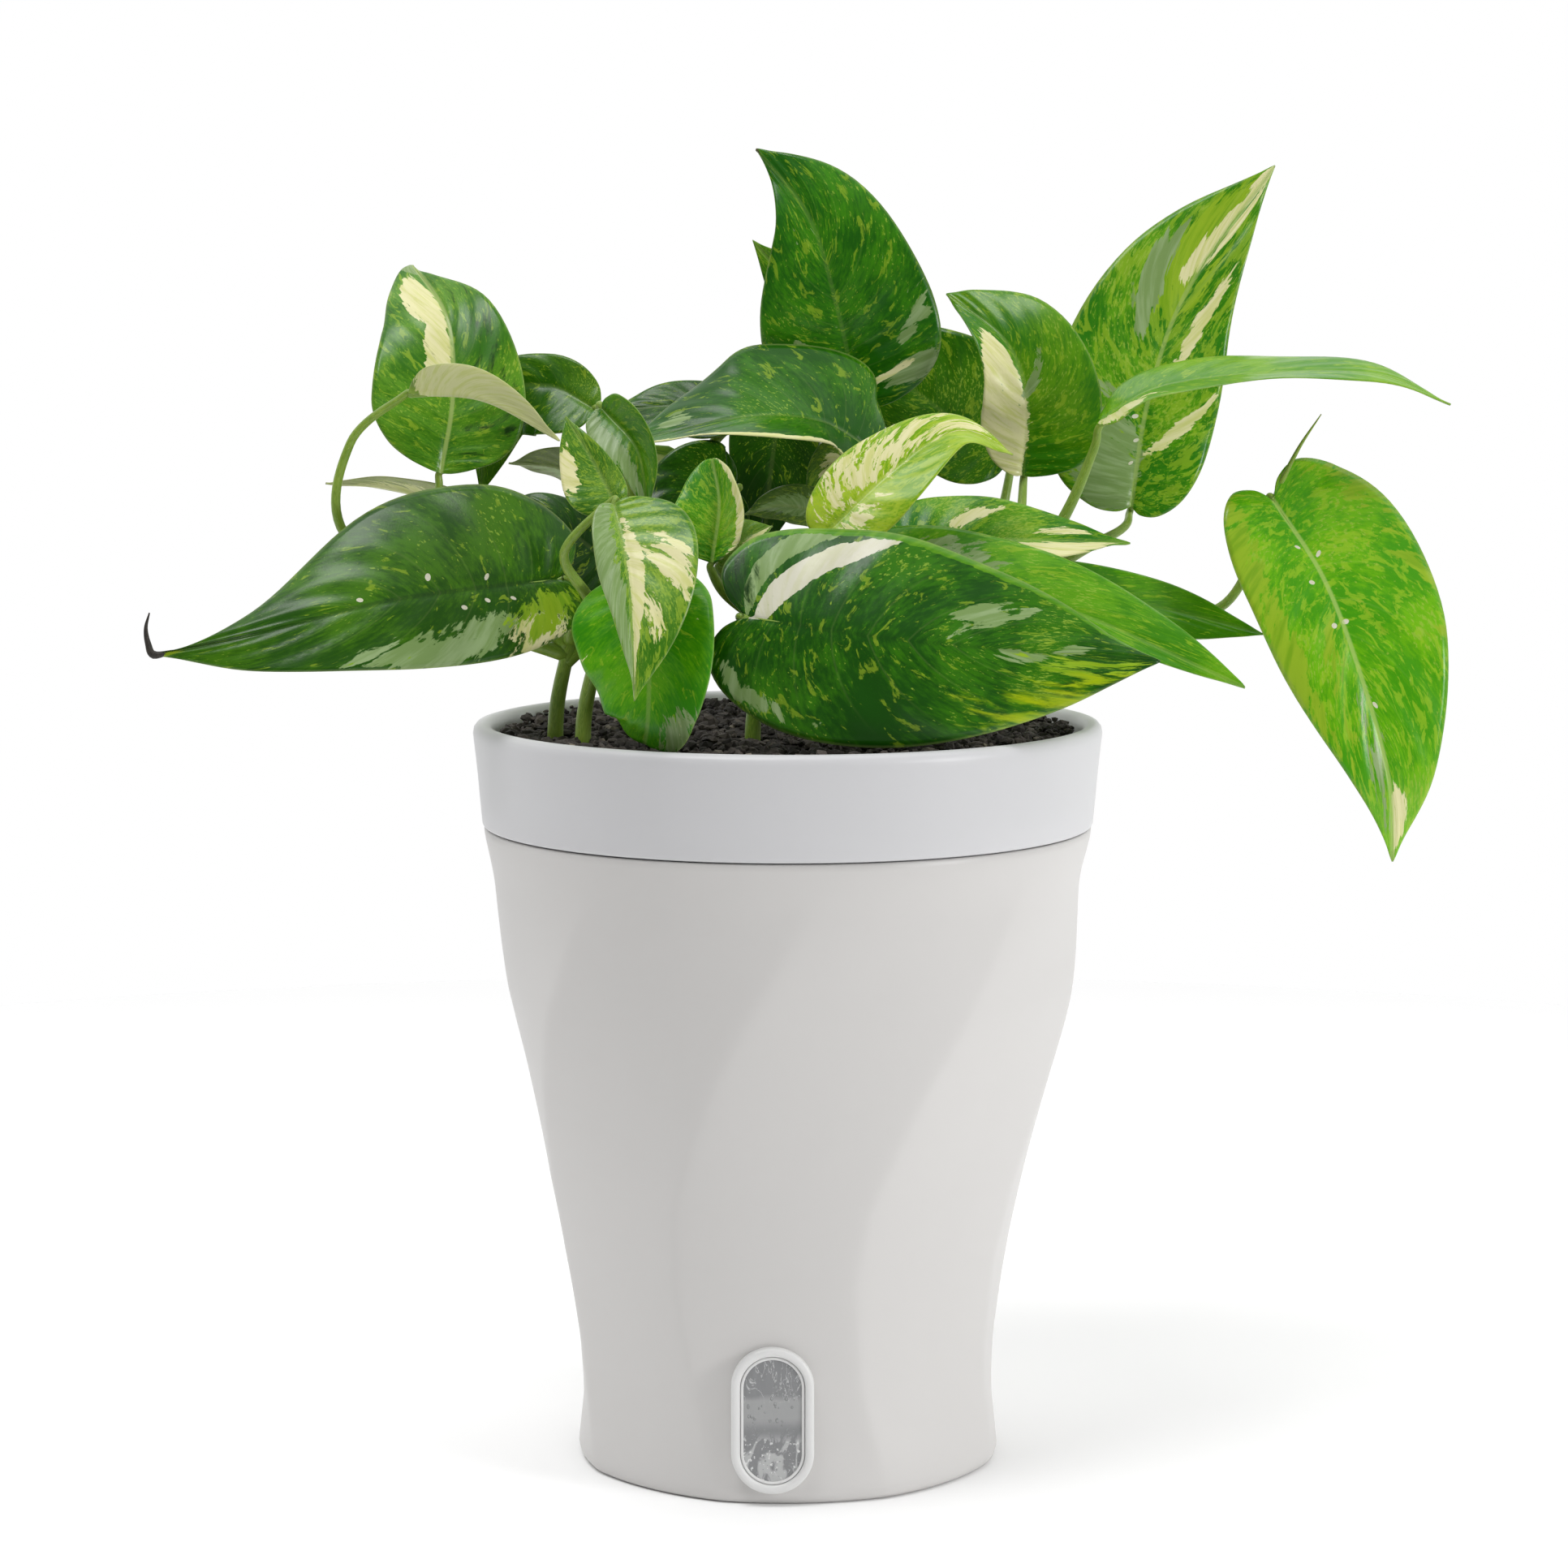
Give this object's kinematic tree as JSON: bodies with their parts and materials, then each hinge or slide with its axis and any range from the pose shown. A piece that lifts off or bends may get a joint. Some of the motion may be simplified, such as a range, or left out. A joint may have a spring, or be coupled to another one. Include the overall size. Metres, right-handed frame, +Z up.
{
  "type": "potted plant",
  "caption": "Variegated trailing plant with heart-shaped leaves, planted in a round fluted self-watering pot with a lift-out liner and a small water window in front.",
  "frame": {"origin": "centre of the outer pot's flat base, on the surface it stands on", "axes": "+Z up, -Y towards the side with the water window, +X to the right as seen from that side"},
  "size_m": [0.3433, 0.1924, 0.3591],
  "materials": {
    "white_plastic": "satin",
    "clear_plastic": "gloss",
    "potting_mix": "matte",
    "stem": "satin",
    "leaf_dark": "satin",
    "leaf_green": "satin",
    "leaf_variegated": "satin",
    "leaf_cream": "satin",
    "leaf_lime": "satin"
  },
  "bodies": {
    "pot": {"outer_pot": "white_plastic", "window_bezel": "white_plastic", "window_pane": "clear_plastic"},
    "planter": {"inner_pot": "white_plastic", "potting_mix": "potting_mix", "stem_left": "stem", "stem_front": "stem", "stem_middle": "stem", "stem_rear": "stem", "stem_right": "stem", "stem_rear_left": "stem", "stem_rear_right": "stem", "leaf_far_left": "leaf_dark", "leaf_left_upright": "leaf_variegated", "leaf_left_arched": "leaf_cream", "leaf_left_back": "leaf_dark", "leaf_left_narrow": "leaf_green", "leaf_centre_wide": "leaf_dark", "leaf_left_streaked": "leaf_variegated", "leaf_left_lobed": "leaf_green", "leaf_front_hanging": "leaf_lime", "leaf_small_upright": "leaf_green", "leaf_small_side": "leaf_variegated", "leaf_front_big": "leaf_variegated", "leaf_front_narrow": "leaf_green", "leaf_right_low": "leaf_dark", "leaf_right_streaked": "leaf_variegated", "leaf_lime_twisted": "leaf_lime", "leaf_top": "leaf_green", "leaf_top_behind": "leaf_green", "leaf_rear_dark": "leaf_dark", "leaf_rear_cream": "leaf_cream", "leaf_right_tall": "leaf_cream", "leaf_right_flat": "leaf_green", "leaf_right_hanging": "leaf_lime", "leaf_left_sliver": "leaf_cream", "leaf_left_grey": "leaf_variegated", "leaf_left_dark": "leaf_dark", "leaf_rear_holed": "leaf_dark", "leaf_rear_streaked": "leaf_variegated", "leaf_centre_grey": "leaf_variegated", "leaf_rear_left": "leaf_dark", "leaf_centre_dark": "leaf_dark", "leaf_back_low_left": "leaf_green", "leaf_back_upright": "leaf_variegated", "leaf_back_low": "leaf_green", "leaf_back_low_right": "leaf_variegated"}
  },
  "joints": [
    {"name": "liner_lift", "type": "slide", "parent": "pot", "child": "planter", "axis": [0, 0, 1], "range_m": [0, 0.18]}
  ]
}
